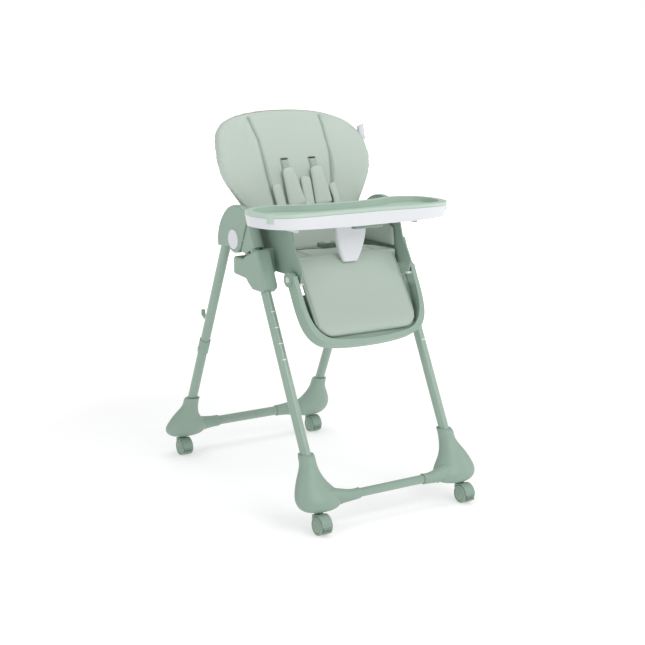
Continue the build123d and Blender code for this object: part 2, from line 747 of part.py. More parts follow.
def tray_face(trim, height):
    """Plan of the tray at a height, pulled in by a trim all round."""
    right = tray_outline + tray_belly
    left = [(-x, y) for x, y in reversed(right[1:-1])]
    edge = Spline(*(right + left), periodic=True)
    rim = []
    steps = 48
    for step in range(steps):
        spot = edge @ (step / steps)
        along = edge % (step / steps)
        rim.append((spot.X - along.Y * trim, spot.Y + along.X * trim))
    return Pos(0, 0, height) * make_face([Spline(*rim, periodic=True)])


def tray_slab(trim, low, high):
    return extrude(tray_face(trim, low), high - low, dir=(0, 0, 1))


def crowned_band(low, high, low_droop, high_droop):
    """The space between two shallow arches across the tray; droop is measured at its ends."""
    reach = tray_half_width + 16
    face = make_face([
        ThreePointArc((-reach, low - low_droop), (0, low), (reach, low - low_droop)),
        Line((reach, low - low_droop), (reach, high - high_droop)),
        ThreePointArc((reach, high - high_droop), (0, high), (-reach, high - high_droop)),
        Line((-reach, high - high_droop), (-reach, low - low_droop))])
    return extrude(Plane.XZ * face, 500, both=True)


def tray_base():
    """White lower tray with side rails that slide on the armrests."""
    shell = loft([tray_face(7, tray_bottom_z - 4), tray_face(0, tray_bottom_z + tray_rim_height + 4)])
    shell &= crowned_band(tray_bottom_z, tray_bottom_z + tray_rim_height, -tray_bottom_lift, tray_top_droop)
    shell -= tray_slab(11, tray_bottom_z + 12, tray_bottom_z + 80)
    rail_top = tray_bottom_z + 4
    rail_low = seat_rim_z + 3 + touch_gap
    rail_y = tray_front_y + 120
    rail_length = 110
    rail = Pos(seat_half_width - 1, rail_y, (rail_top + rail_low) / 2) * Box(
        26, rail_length, rail_top - rail_low)
    rail += Pos(seat_half_width + 14.5, rail_y, rail_low) * Box(5, rail_length, 20)
    for side in (rail, mirror(rail, about=Plane.YZ)):
        shell += side
    slot_length = latch_tab + latch_travel + 2
    return shell - Pos(0, latch_y - latch_travel / 2, tray_bottom_z + 4) * Box(70, slot_length, 14)


def tray_overlay():
    """Lift-off top tray with a raised rim and a shallow well."""
    seat_z = tray_bottom_z + tray_rim_height + overlay_gap
    top_z = seat_z + overlay_height
    rim = tray_slab(0.4, seat_z - 20, top_z + 5) & crowned_band(seat_z, top_z, tray_top_droop, tray_top_droop)
    bowl = tray_slab(19, seat_z - 12, top_z - tray_top_droop)
    well = tray_slab(22, seat_z - 9, top_z + 20)
    return (rim + bowl) - well


def crotch_post():
    """Flat tapering post under the tray that keeps a child from sliding out."""
    upper = Plane.XY.offset(tray_bottom_z - touch_gap) * Pos(0, post_y) * RectangleRounded(98, 22, 8)
    middle = Plane.XY.offset(tray_bottom_z - 90) * Pos(0, post_y) * RectangleRounded(66, 20, 8)
    lower = Plane.XY.offset(tray_bottom_z - 111) * Pos(0, post_y) * RectangleRounded(46, 16, 7)
    return loft([lower, middle, upper])


def tray_latch():
    """Pull latch under the front edge of the tray."""
    pad = Pos(0, latch_y, tray_bottom_z - 5) * Box(92, 24, 8)
    pad = fillet(pad.edges().filter_by(Axis.Z), 7)
    return pad + Pos(0, latch_y, tray_bottom_z + 2) * Box(40, latch_tab, 8)


# ---- build every piece ---------------------------------------------------------
os.makedirs("parts", exist_ok=True)

save_both("front_leg", lambda: leg_tube(front_y, pivot_z + 12, leg_foot_height))
save("front_cross_tube", cross_tube(True))
save_both("front_foot", lambda: foot_shell(True))
save_pair("front_foot_screws", lambda: foot_screws(True))
save_both("front_hub", front_hub)
save_pair("hub_pins", hub_pin)

save_both("rear_leg_upper", lambda: rear_tube(pivot_z + 30, collar_height))
save_pair("rear_leg_lower", lambda: rear_tube(collar_height, leg_foot_height))
save_pair("rear_leg_collars", leg_collar)
save("rear_cross_tube", cross_tube(False))
save_both("rear_foot", lambda: foot_shell(False))
save_pair("rear_foot_screws", lambda: foot_screws(False))
save_both("rear_hub", rear_hub)
save_pair("tray_hooks", tray_hook)
save_both("hub_button", hub_button)
save_both("leg_snap_button", snap_button)
save_casters()

save("seat_shell", seat_shell())
save_both("slider_housing", slider_housing)
save_both("height_lever", height_lever)
save("seat_cushion", seat_cushion())
save_pair("seat_side_pads", seat_side_pad)
save("lap_straps", lap_straps())
save("buckle", buckle())
save("buckle_button", buckle_button())

save("backrest_shell", back_shell())
save("backrest_pad", back_pad())
save("backrest_wings", Compound(back_wings().solids()))
save("shoulder_straps", shoulder_straps())
save("shoulder_pads", shoulder_pads())
save("recline_lever", recline_lever())

save("footrest_frame", footrest_frame())
save("calf_pad", calf_pad())
save_both("footrest_button", footrest_button)

save("tray_base", tray_base())
save("tray_overlay", tray_overlay())
save("crotch_post", crotch_post())
save("tray_latch", tray_latch())
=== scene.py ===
# A folding baby high chair: painted A-frame on casters, moulded seat and trays, padded cover and harness.
import math

import bmesh
import bpy
import numpy as np
from mathutils import Matrix, Vector
from mathutils.bvhtree import BVHTree


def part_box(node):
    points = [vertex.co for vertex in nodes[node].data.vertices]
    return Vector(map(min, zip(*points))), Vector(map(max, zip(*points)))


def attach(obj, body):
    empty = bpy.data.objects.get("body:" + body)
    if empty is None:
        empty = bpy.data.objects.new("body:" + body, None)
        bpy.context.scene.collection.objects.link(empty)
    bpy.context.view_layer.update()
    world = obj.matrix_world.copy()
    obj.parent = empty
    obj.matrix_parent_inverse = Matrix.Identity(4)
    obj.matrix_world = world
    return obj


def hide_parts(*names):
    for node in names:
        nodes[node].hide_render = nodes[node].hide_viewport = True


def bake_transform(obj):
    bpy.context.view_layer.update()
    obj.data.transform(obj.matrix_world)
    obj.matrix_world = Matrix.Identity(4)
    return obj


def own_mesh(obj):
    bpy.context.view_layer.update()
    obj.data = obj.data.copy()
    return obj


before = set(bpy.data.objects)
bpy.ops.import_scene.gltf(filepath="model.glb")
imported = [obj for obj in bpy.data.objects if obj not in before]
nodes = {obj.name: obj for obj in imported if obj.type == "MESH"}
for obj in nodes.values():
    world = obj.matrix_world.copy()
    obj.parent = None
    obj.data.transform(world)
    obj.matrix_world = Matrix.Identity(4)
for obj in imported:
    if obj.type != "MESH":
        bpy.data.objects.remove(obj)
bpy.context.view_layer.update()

# ---- Leg tubes and cross tubes -------------------------------------------------
# Straight round steel tube with no welds: it is pressed into the moulded feet and hub heads.
# The finish is a sage powder coat with a fine orange peel, glossier than the plastics.


class Term:
    """A value on a shader socket. Arithmetic on it adds Math nodes."""

    def __init__(self, finish, socket):
        self.finish = finish
        self.socket = socket

    def math(self, operation, *values):
        return self.finish.node("ShaderNodeMath", {"operation": operation}, dict(enumerate(values)))

    def __add__(self, other):
        return self.math("ADD", self, other)

    def __sub__(self, other):
        return self.math("SUBTRACT", self, other)

    def __rsub__(self, other):
        return self.math("SUBTRACT", other, self)

    def __mul__(self, other):
        return self.math("MULTIPLY", self, other)

    __radd__ = __add__
    __rmul__ = __mul__

    def above(self, edge, width):
        """0 below edge, 1 above edge + width, and straight in between."""
        return self.finish.node(
            "ShaderNodeMapRange", {"clamp": True},
            {"Value": self, "From Min": edge, "From Max": edge + width})


class Finish:
    """A material round one Principled shader."""

    def __init__(self, name, values):
        self.material = bpy.data.materials.new(name)
        self.material.use_nodes = True
        self.tree = self.material.node_tree
        self.shader = self.tree.nodes["Principled BSDF"]
        self.feed(values)

    def feed(self, values):
        for name, value in values.items():
            self.join(value, self.shader.inputs[name])

    def join(self, value, socket):
        if isinstance(value, Term):
            self.tree.links.new(value.socket, socket)
        else:
            socket.default_value = value

    def node(self, kind, settings, sockets, output=0):
        made = self.tree.nodes.new(kind)
        for name, value in settings.items():
            setattr(made, name, value)
        for name, value in sockets.items():
            self.join(value, made.inputs[name])
        return Term(self, made.outputs[output])

    def place(self, stretch=(1, 1, 1)):
        spot = self.node("ShaderNodeTexCoord", {}, {}, "Object")
        return self.node("ShaderNodeVectorMath", {"operation": "MULTIPLY"}, {0: spot, 1: stretch})

    def noise(self, scale, detail=2.0, stretch=(1, 1, 1)):
        return self.node(
            "ShaderNodeTexNoise", {}, {"Vector": self.place(stretch), "Scale": scale, "Detail": detail})

    def cells(self, scale, feature="F1", stretch=(1, 1, 1)):
        return self.node(
            "ShaderNodeTexVoronoi", {"feature": feature}, {"Vector": self.place(stretch), "Scale": scale})

    def mixed(self, low, high, share):
        return self.node("ShaderNodeMix", {"data_type": "RGBA"}, {0: share, 6: low, 7: high}, 2)

    def relief(self, height, depth):
        self.feed({"Normal": self.node(
            "ShaderNodeBump", {}, {"Height": height, "Strength": 1.0, "Distance": depth})})


def shade(red, green, blue):
    """A colour as seen on a screen, 0 to 255, as a shader colour."""
    linear = [((c / 255 + 0.055) / 1.055) ** 2.4 if c > 10 else c / 3294 for c in (red, green, blue)]
    return (*linear, 1.0)


def toned(colour, factor):
    return (*[c * factor for c in colour[:3]], 1.0)


sage = shade(142, 165, 150)


def powder_coat(name, colour):
    coat = Finish(name, {"IOR": 1.5, "Coat Roughness": 0.12, "Coat Weight": 0.35})
    peel = coat.noise(520, 3)
    cloudy = coat.noise(9, 2)
    scuffs = coat.noise(60, 6, (1, 1, 0.25)).above(0.66, 0.05)
    coat.feed({
        "Base Color": coat.mixed(
            coat.mixed(toned(colour, 0.93), toned(colour, 1.05), cloudy), toned(colour, 1.22), scuffs * 0.3),
        "Roughness": 0.27 + peel * 0.06 + scuffs * 0.18,
    })
    coat.relief(peel, 0.00006)
    return coat.material


def finish_node(name, *materials):
    """Gives a carried-over part its finish."""
    slots = nodes[name].data.materials
    slots.clear()
    for material in materials:
        slots.append(material)


tube_coat = powder_coat("sage_powder_coat", sage)
for tube in ("front_leg_left", "front_leg_right", "front_cross_tube", "rear_leg_upper_left",
             "rear_leg_upper_right", "rear_leg_lower", "rear_cross_tube"):
    finish_node(tube, tube_coat)


def placed(name, data):
    """A new object in the scene."""
    piece = bpy.data.objects.new(name, data)
    bpy.context.scene.collection.objects.link(piece)
    return piece


def new_piece(name, mesh, material, body):
    """A shown piece that rides on a body of the frame."""
    piece = placed(name, mesh)
    mesh.materials.clear()
    mesh.materials.append(material)
    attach(piece, body)
    return piece


def mesh_of(build):
    """A mesh from a bmesh, smooth shaded."""
    mesh = bpy.data.meshes.new("part")
    build.to_mesh(mesh)
    build.free()
    mesh.shade_smooth()
    return mesh


def smooth_by_angle(mesh, degrees):
    """Marks the edges that turn more than an angle as sharp."""
    build = bmesh.new()
    build.from_mesh(mesh)
    for edge in build.edges:
        if len(edge.link_faces) == 2 and edge.calc_face_angle(0) > math.radians(degrees):
            edge.smooth = False
    build.to_mesh(mesh)
    build.free()


# ---- Height marks on the front legs --------------------------------------------
# Short strokes printed on the inner front of each front leg, one for every stop of the seat's height.
# The ink is white and matt, and it lies on the powder coat.
white_ink = Finish("white_ink", {"Roughness": 0.5})
white_ink.feed({"Base Color": white_ink.mixed(
    shade(225, 230, 226), shade(205, 214, 208), white_ink.noise(400, 4).above(0.4, 0.3))})

leg_low, leg_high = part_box("front_leg_right")
leg_radius = (leg_high.x - leg_low.x) / 2
leg_centre_x = (leg_high.x + leg_low.x) / 2
leg_bottom = Vector((0, leg_low.y + leg_radius, leg_low.z))
leg_top = Vector((0, leg_high.y - leg_radius, leg_high.z))
leg_run = (leg_top - leg_bottom).normalized()
mark_heights = [0.54 - 0.04 * step for step in range(7)]


def leg_marks(side):
    """Curved strokes that lie on the tube."""
    build = bmesh.new()
    axis = Vector((side * leg_centre_x, leg_bottom.y, leg_bottom.z))
    across = Vector((1, 0, 0))
    forward = leg_run.cross(across).normalized()
    if forward.y > 0:
        forward = -forward
    proud = leg_radius + 0.00015
    for height in mark_heights:
        centre = axis + leg_run * ((height - axis.z) / leg_run.z)
        rows = []
        for along in (-0.0016, 0.0016):
            row = []
            for step in range(7):
                angle = math.radians(-30 + 50 * step / 6) * side
                out = forward * math.cos(angle) - across * math.sin(angle)
                row.append(build.verts.new(centre + leg_run * along + out * proud))
            rows.append(row)
        for step in range(6):
            build.faces.new((rows[0][step], rows[0][step + 1], rows[1][step + 1], rows[1][step]))
    return mesh_of(build)


for side_name, side in (("left", -1), ("right", 1)):
    new_piece(
        f"height_marks_{side_name}", leg_marks(side), white_ink.material, "front_frame")

# ---- Feet ----------------------------------------------------------------------
# Injection-moulded boots that spread from the leg to the caster, with a sleeve for the cross tube.
# They have a fine spark-eroded surface, a little paler where fingers and floors have polished it.


def moulded(name, colour, roughness, grain=0.00003):
    plastic = Finish(name, {"IOR": 1.48})
    spark = plastic.noise(1500, 2)
    flow = plastic.noise(6, 3, (1, 1, 0.5))
    rubbed = plastic.noise(34, 5).above(0.62, 0.12)
    plastic.feed({
        "Base Color": plastic.mixed(
            plastic.mixed(toned(colour, 0.95), toned(colour, 1.05), flow), toned(colour, 1.1), rubbed * 0.3),
        "Roughness": roughness + spark * 0.08 - rubbed * 0.06,
    })
    plastic.relief(spark, grain)
    return plastic.material


sage_plastic = moulded("sage_plastic", sage, 0.40)
for foot in ("front_foot_left", "front_foot_right", "rear_foot_left", "rear_foot_right"):
    finish_node(foot, sage_plastic)

zinc = Finish("zinc_plate", {"Metallic": 1.0, "Specular IOR Level": 0.5})
zinc.feed({
    "Base Color": zinc.mixed(shade(150, 152, 155), shade(190, 192, 196), zinc.cells(700)),
    "Roughness": 0.3 + zinc.noise(300, 3) * 0.2,
})
for metal in ("front_foot_screws", "rear_foot_screws", "hub_pins"):
    finish_node(metal, zinc.material)

# ---- Casters -------------------------------------------------------------------
# Twin nylon wheels under a hood, with a brake tab that shows in the dark gap between the wheels.
# Each caster swivels under its foot; hood, wheels and brake are moulded in three shades of sage.
wheel_plastic = moulded("caster_nylon", toned(sage, 0.9), 0.36)
hood_plastic = moulded("caster_hood_plastic", toned(sage, 0.94), 0.38)
brake_plastic = moulded("brake_plastic", toned(sage, 0.8), 0.42)
for end in ("front", "rear"):
    for side in ("left", "right"):
        finish_node(f"caster_hood_{end}_{side}", hood_plastic)
        finish_node(f"caster_wheels_{end}_{side}", wheel_plastic)
        finish_node(f"caster_brake_{end}_{side}", brake_plastic)


def skin(build, rings, capped=True):
    """Faces between neighbouring rings of points, and over the first and last ring."""
    count = len(rings[0])
    for low, high in zip(rings, rings[1:]):
        for step in range(count):
            after = (step + 1) % count
            build.faces.new((low[step], low[after], high[after], high[step]))
    if capped:
        build.faces.new(rings[0])
        build.faces.new(rings[-1])


def add_to(build, part):
    """Takes a finished part into a larger build."""
    mesh = mesh_of(part)
    build.from_mesh(mesh)
    bpy.data.meshes.remove(mesh)


def lathe(profile, turns, origin, axis):
    """A turned part: profile pairs are (distance along the axis, radius)."""
    build = bmesh.new()
    axis = Vector(axis).normalized()
    across = axis.orthogonal().normalized()
    other = axis.cross(across)
    rings = []
    for along, radius in profile:
        ring = []
        for step in range(turns):
            angle = 2 * math.pi * step / turns
            out = across * math.cos(angle) + other * math.sin(angle)
            ring.append(build.verts.new(Vector(origin) + axis * along + out * radius))
        rings.append(ring)
    skin(build, rings, capped=False)
    build.faces.new(list(reversed(rings[0])))
    build.faces.new(rings[-1])
    bmesh.ops.recalc_face_normals(build, faces=build.faces)
    return build


# Each wheel's outer face carries a domed disc with a groove round it and a small centre boss.
disc_profile = [(0.0, 0.0185), (0.0012, 0.0185), (0.0018, 0.0178), (0.0015, 0.0165), (0.0021, 0.0155),
                (0.0029, 0.0105), (0.0033, 0.0058), (0.0026, 0.0054), (0.0032, 0.0046), (0.0036, 0.002)]
for end in ("front", "rear"):
    for side in ("left", "right"):
        low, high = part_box(f"caster_wheels_{end}_{side}")
        middle = (low + high) / 2
        build = bmesh.new()
        for sign in (-1, 1):
            face_x = high.x if sign > 0 else low.x
            add_to(build, lathe(
                disc_profile, 48, (face_x - sign * 0.0017, middle.y, middle.z), (sign, 0, 0)))
        discs = mesh_of(build)
        smooth_by_angle(discs, 40)
        new_piece(f"wheel_discs_{end}_{side}", discs, hood_plastic, f"wheels_{end}_{side}")

# ---- Hubs, rear legs and their buttons -----------------------------------------
# The rear leg's dome turns on the plate of the front leg's head; the round white button frees the fold.
# Sleeves with a snap button join the two lengths of each rear leg.
hub_plastic = moulded("hub_plastic", toned(sage, 0.96), 0.42)
white_plastic = moulded("white_plastic", shade(208, 210, 213), 0.3, 0.00001)
for side in ("left", "right"):
    finish_node(f"front_hub_{side}", hub_plastic)
    finish_node(f"rear_hub_{side}", hub_plastic)
    finish_node(f"hub_button_{side}", white_plastic)
    finish_node(f"leg_snap_button_{side}", zinc.material)
for name in ("rear_leg_collars", "tray_hooks"):
    finish_node(name, sage_plastic)

# Domed rivet heads on the front heads, one under each dome.
rivet_profile = [(0, 0.0034), (0.0008, 0.0034), (0.0016, 0.0026), (0.002, 0.001)]
for side_name, side in (("left", -1), ("right", 1)):
    low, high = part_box(f"front_hub_{side_name}")
    outer_x = high.x if side > 0 else low.x
    spot = (outer_x - side * 0.0006, low.y + 0.62 * (high.y - low.y) - 0.03, low.z + 0.42 * (high.z - low.z))
    rivet = mesh_of(lathe(rivet_profile, 24, spot, (side, 0, 0)))
    new_piece(f"head_rivet_{side_name}", rivet, zinc.material, "front_frame")

# ---- Seat shell, carriages and levers ------------------------------------------
# A moulded bucket hangs between two hollow carriages that slide on the front legs.
# Shell, carriages, levers and backrest panel are moulded in the same sage as the hubs.
for name in ("seat_shell", "slider_housing_left", "slider_housing_right", "height_lever_left",
             "height_lever_right", "recline_lever", "backrest_shell"):
    finish_node(name, hub_plastic)

# ---- Seat cushion --------------------------------------------------------------
# Foam in a synthetic leather cover, sewn round its edges, that lies in the bucket. The cover is blown up as
# cloth from inside, held at its sewn edges, and its panel seams are pressed in after.
leather_green = shade(179, 191, 181)


def leatherette(name, colour):
    cover = Finish(name, {"IOR": 1.45, "Sheen Weight": 0.08, "Sheen Roughness": 0.5})
    grain = cover.cells(620, "F1")
    fine = cover.noise(1900, 2)
    drift = cover.noise(5, 2)
    # The seam mask pulls the colour towards a deep sage: painted shade in the pressed-in seams. A little real
    # grain goes into the same blend.
    seam_shade_mask = cover.node("ShaderNodeAttribute", {"attribute_name": "seam_shade_mask"}, {}, 2)
    cover.feed({
        "Base Color": cover.mixed(
            cover.mixed(toned(colour, 0.95), toned(colour, 1.03), drift),
            toned(sage, 0.62), seam_shade_mask * 0.75 + grain * 0.05),
        "Roughness": 0.43 + grain * 0.12 + fine * 0.05 + seam_shade_mask * 0.2,
    })
    cover.relief(grain * 0.7 + fine * 0.3, 0.00016)
    return cover.material


cover_leather = leatherette("cover_leatherette", leather_green)


def evaluated(piece):
    """A piece's mesh with its modifiers worked in."""
    graph = bpy.context.evaluated_depsgraph_get()
    return bpy.data.meshes.new_from_object(piece.evaluated_get(graph))


def settle(piece):
    """Applies every modifier of a piece."""
    mesh = evaluated(piece)
    piece.modifiers.clear()
    piece.data = mesh


def points_of(mesh):
    flat = np.empty(len(mesh.vertices) * 3)
    mesh.vertices.foreach_get("co", flat)
    return flat.reshape(-1, 3)


def move_points(mesh, points):
    mesh.vertices.foreach_set("co", np.asarray(points, dtype=np.float32).ravel())
    mesh.update()


def normals_of(mesh):
    flat = np.empty(len(mesh.vertices) * 3)
    mesh.vertex_normals.foreach_get("vector", flat)
    return flat.reshape(-1, 3)


def skin_round(name, sources, voxel, shrink):
    """A closed even skin round some soft parts of the frame, a little smaller than they are."""
    build = bmesh.new()
    for source in sources:
        build.from_mesh(nodes[source].data)
    mesh = bpy.data.meshes.new(name)
    build.to_mesh(mesh)
    build.free()
    piece = placed(name, mesh)
    remesh = piece.modifiers.new("Even skin", "REMESH")
    remesh.mode = "VOXEL"
    remesh.voxel_size = voxel
    remesh.use_smooth_shade = True
    smooth = piece.modifiers.new("Soft corners", "SMOOTH")
    smooth.iterations = 6
    settle(piece)
    move_points(piece.data, points_of(piece.data) - normals_of(piece.data) * shrink)
    return piece


def stuff(piece, sewn, pressure=4.0, reach=0.010):
    """Blows the cover up from inside. Points that sewn marks stay; no point moves further than reach."""
    start = points_of(piece.data)
    seam = piece.vertex_groups.new(name="sewn")
    seam.add([int(i) for i in np.nonzero(sewn)[0]], 1.0, "REPLACE")
    cloth = piece.modifiers.new("Stuffing", "CLOTH")
    cloth.settings.quality = 5
    cloth.settings.mass = 0.3
    cloth.settings.tension_stiffness = 15
    cloth.settings.compression_stiffness = 15
    cloth.settings.bending_stiffness = 0.5
    cloth.settings.use_pressure = True
    cloth.settings.uniform_pressure_force = pressure
    cloth.settings.vertex_group_mass = "sewn"
    cloth.settings.effector_weights.gravity = 0
    cloth.collision_settings.use_self_collision = False
    for moment in range(1, 21):
        bpy.context.scene.frame_set(moment)
    blown = evaluated(piece)
    move = points_of(blown) - start
    length = np.linalg.norm(move, axis=1, keepdims=True)
    move *= np.minimum(1, reach / np.maximum(length, 1e-9))
    bpy.data.meshes.remove(blown)
    piece.modifiers.remove(cloth)
    move_points(piece.data, start + move)
    piece.vertex_groups.clear()
    bpy.context.scene.frame_set(1)
    finer = piece.modifiers.new("Finer", "SUBSURF")
    finer.levels = 1
    finer.render_levels = 1
    settle(piece)


def distance_to(points, path):
    """How far each point is from a polyline."""
    best = np.full(len(points), 1e9)
    for a, b in zip(path, path[1:]):
        a, b = np.array(a), np.array(b)
        run = b - a
        share = np.clip(((points - a) @ run) / (run @ run), 0, 1)
        best = np.minimum(best, np.linalg.norm(points - (a + share[:, None] * run), axis=1))
    return best


def press_seams(piece, paths, depth, width):
    """Pulls the cover in along its seams and marks them for the finish, which paints shade there."""
    points = points_of(piece.data)
    near = np.full(len(points), 1e9)
    for path in paths:
        near = np.minimum(near, distance_to(points, path))
    fall = np.exp(-(near / width) ** 2)
    move_points(piece.data, points - normals_of(piece.data) * (depth * fall)[:, None])
    mark = piece.data.attributes.new("seam_shade_mask", "FLOAT", "POINT")
    mark.data.foreach_set("value", np.exp(-(near / (width * 0.55)) ** 2).astype(np.float32))


def finish_pad(piece, material, body, stands_for):
    piece.data.materials.clear()
    piece.data.materials.append(material)
    piece.data.shade_smooth()
    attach(piece, body)
    if stands_for:
        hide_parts(*stands_for)


def surface_of(piece):
    build = bmesh.new()
    build.from_mesh(piece.data)
    tree = BVHTree.FromBMesh(build)
    build.free()
    return tree


def on_front(tree, x, z):
    """The spot on a cover that is seen from the front at x, z, with its normal, or None twice."""
    in_front_y = -0.6
    spot, normal, _, _ = tree.ray_cast(Vector((x, in_front_y, z)), Vector((0, 1, 0)))
    return spot, normal


seat_pad = skin_round("seat_cushion_cover", ["seat_cushion"], voxel=0.005, shrink=0.0015)
pad_low, pad_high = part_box("seat_cushion")
pad_points = points_of(seat_pad.data)
near_side = np.minimum(pad_high.x - np.abs(pad_points[:, 0]), pad_points[:, 1] - pad_low.y)
sewn_edge = np.abs(near_side) < 0.004
underside = pad_points[:, 2] < pad_low.z + 0.006
stuff(seat_pad, sewn_edge | underside, pressure=4.0, reach=0.006)
front_seam_x = 0.62 * pad_high.x
rear_seam_x = 0.55 * pad_high.x
seat_seams = [
    [(side * front_seam_x, pad_low.y + 0.012, pad_high.z), (side * front_seam_x, -0.02, pad_high.z),
     (side * rear_seam_x, pad_high.y, pad_high.z - 0.01)] for side in (-1, 1)]
press_seams(seat_pad, seat_seams, depth=0.004, width=0.007)
finish_pad(seat_pad, cover_leather, "seat", ["seat_cushion"])

# ---- Backrest cover ------------------------------------------------------------
# One padded cover over the moulded panel: a middle panel between two seams, two side panels, and piping
# round the front edge. Its side wings are soft.
back_cover = skin_round("backrest_cover", ["backrest_pad", "backrest_wings"], voxel=0.005, shrink=0.0)
crown_z = 0.95
drawn = points_of(back_cover.data)
drawn[:, 0] *= 1.015
drawn[:, 2] += 0.03 * np.maximum(0, drawn[:, 2] - crown_z)
move_points(back_cover.data, drawn)
cover_middle_z = 0.88
panel_seam = [(0.094, 0.795), (0.106, 0.874), (0.109, 0.902), (0.112, 0.938), (0.112, 0.979), (0.116, 1.008),
              (0.119, 1.040)]
cover_points = points_of(back_cover.data)
rest_tree = surface_of(back_cover)
seam_paths = []
for side in (-1, 1):
    down = [(0.082, 0.715)] + panel_seam
    spots = [on_front(rest_tree, side * x, z)[0] for x, z in down]
    seam_paths.append([tuple(spot) for spot in spots if spot is not None])


def rim_path(points, centre, count):
    """The outline of a cover seen from the front, as its outermost points round a centre."""
    flat = points[:, (0, 2)] - np.array(centre)
    angle = np.arctan2(flat[:, 1], flat[:, 0])
    radius = np.hypot(flat[:, 0], flat[:, 1])
    path = []
    for step in range(count):
        want = -math.pi + 2 * math.pi * step / count
        close = np.abs((angle - want + math.pi) % (2 * math.pi) - math.pi) < math.pi / count
        index = np.nonzero(close)[0]
        path.append(points[index[np.argmax(radius[index])]])
    return np.array(path)


near_seam = np.minimum(distance_to(cover_points, seam_paths[0]), distance_to(cover_points, seam_paths[1]))
rim = rim_path(cover_points, (0, cover_middle_z), 72)
closed_rim = np.vstack([rim, rim[:1]])
near_rim = distance_to(cover_points, closed_rim)
facing_back = normals_of(back_cover.data)[:, 1] > 0.25
stuff(back_cover, (near_seam < 0.004) | (near_rim < 0.005) | facing_back, pressure=4.0, reach=0.011)
press_seams(back_cover, seam_paths, depth=0.0045, width=0.006)
finish_pad(back_cover, cover_leather, "backrest", ["backrest_pad", "backrest_wings"])
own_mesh(back_cover)


def smooth_loop(points, rounds):
    points = np.array(points, float)
    for _ in range(rounds):
        points = (np.roll(points, 1, 0) + points * 2 + np.roll(points, -1, 0)) / 4
    return points


def tube_along(path, radius, closed, sides=10):
    """A tube along points."""
    count = len(path)
    build = bmesh.new()
    rings = []
    guide = Vector((0, -1, 0.2)).normalized()
    for index in range(count):
        before = Vector(path[(index - 1) % count] if closed or index else path[index])
        after = Vector(path[(index + 1) % count] if closed or index < count - 1 else path[index])
        run = (after - before).normalized()
        out = (guide - run * guide.dot(run)).normalized()
        across = run.cross(out)
        ring = []
        for step in range(sides):
            angle = 2 * math.pi * step / sides
            ring.append(build.verts.new(
                Vector(path[index]) + out * math.cos(angle) * radius + across * math.sin(angle) * radius))
        rings.append(ring)
    skin(build, rings + rings[:1] if closed else rings, capped=not closed)
    bmesh.ops.recalc_face_normals(build, faces=build.faces)
    return build


piping_vinyl = leatherette("piping_vinyl", shade(150, 154, 138))
front_rim = smooth_loop(rim, 3)
front_rim[:, 1] -= 0.006
centre = np.array([0, 0, cover_middle_z])
inward = centre - front_rim
inward[:, 1] = 0
inward /= np.linalg.norm(inward, axis=1, keepdims=True)
above_seat = [Vector(p) for p in front_rim + inward * 0.0015]
piping_tube = tube_along(above_seat, radius=0.0028, closed=True)
piping = new_piece("backrest_piping", mesh_of(piping_tube), piping_vinyl, "backrest")
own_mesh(piping)

# ---- Side pads -----------------------------------------------------------------
# Thin foam pads in the same cover, tucked against the bucket's side walls.
# Their outer faces are held to the walls, and the rest is blown up.
side_pads = skin_round("seat_side_lining", ["seat_side_pads"], voxel=0.004, shrink=0.0008)
lining_points = points_of(side_pads.data)
_, lining_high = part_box("seat_side_pads")
against_wall = np.abs(lining_points[:, 0]) > lining_high.x - 0.004
stuff(side_pads, against_wall, pressure=3.0, reach=0.003)
finish_pad(side_pads, cover_leather, "seat", ["seat_side_pads"])

# ---- Label ---------------------------------------------------------------------
# A folded ribbon of pale satin, caught in the cover's side seam near the top. It carries no print.
# Its ends are held at the rim, so it moves with the backrest.
satin = Finish("label_satin", {"Sheen Weight": 0.3, "Sheen Roughness": 0.3})
satin_weave = satin.noise(900, 2, (1, 1, 6))
satin.feed({
    "Base Color": satin.mixed(shade(196, 202, 206), shade(214, 219, 222), satin_weave),
    "Roughness": 0.5 + satin_weave * 0.15,
})
satin.relief(satin_weave, 0.0001)


def ribbon(path, spread, thickness):
    """A flat strip: path points with a half-width vector at each of them."""
    build = bmesh.new()
    rows = []
    for index, (point, half) in enumerate(zip(path, spread)):
        before = Vector(path[max(index - 1, 0)])
        after = Vector(path[min(index + 1, len(path) - 1)])
        half = Vector(half)
        normal = (after - before).cross(half).normalized() * thickness / 2
        point = Vector(point)
        rows.append([build.verts.new(corner) for corner in (
            point - half + normal, point + half + normal, point + half - normal, point - half - normal)])
    skin(build, rows)
    bmesh.ops.recalc_face_normals(build, faces=build.faces)
    return build


def rim_spot(angle):
    """The point of the cover's rim in a direction from its middle, and the way out from it."""
    step = int(round((angle + math.pi) / (2 * math.pi) * len(rim))) % len(rim)
    out = Vector((rim[step][0], 0, rim[step][2] - cover_middle_z)).normalized()
    return Vector(rim[step]), out


tag_path, tag_half = [], []
tag_spot, tag_out = rim_spot(math.radians(26))
tag_along = Vector((-tag_out.z, -0.35, tag_out.x)).normalized()
for share in (0, 0.25, 0.5, 0.75, 1):
    fold = math.sin(share * math.pi)
    tag_path.append(tag_spot + tag_out * (0.021 * fold - 0.002) + Vector((0, 0.0025 - 0.006 * share, 0)))
    tag_half.append(tag_along * 0.027)
tag_ribbon = ribbon(tag_path, tag_half, thickness=0.0012)
tag = new_piece("side_label", mesh_of(tag_ribbon), satin.material, "backrest")
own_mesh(tag)

# ---- Stitching -----------------------------------------------------------------
# Two rows of thread beside each seam of the backrest, worked through the finished cover.
# Each stitch is a short capsule that lies on the cover.
thread = Finish("sewing_thread", {"Roughness": 0.7})
thread.feed({"Base Color": thread.mixed(shade(168, 184, 172), shade(184, 198, 188), thread.noise(700, 2))})
cover_tree = surface_of(back_cover)


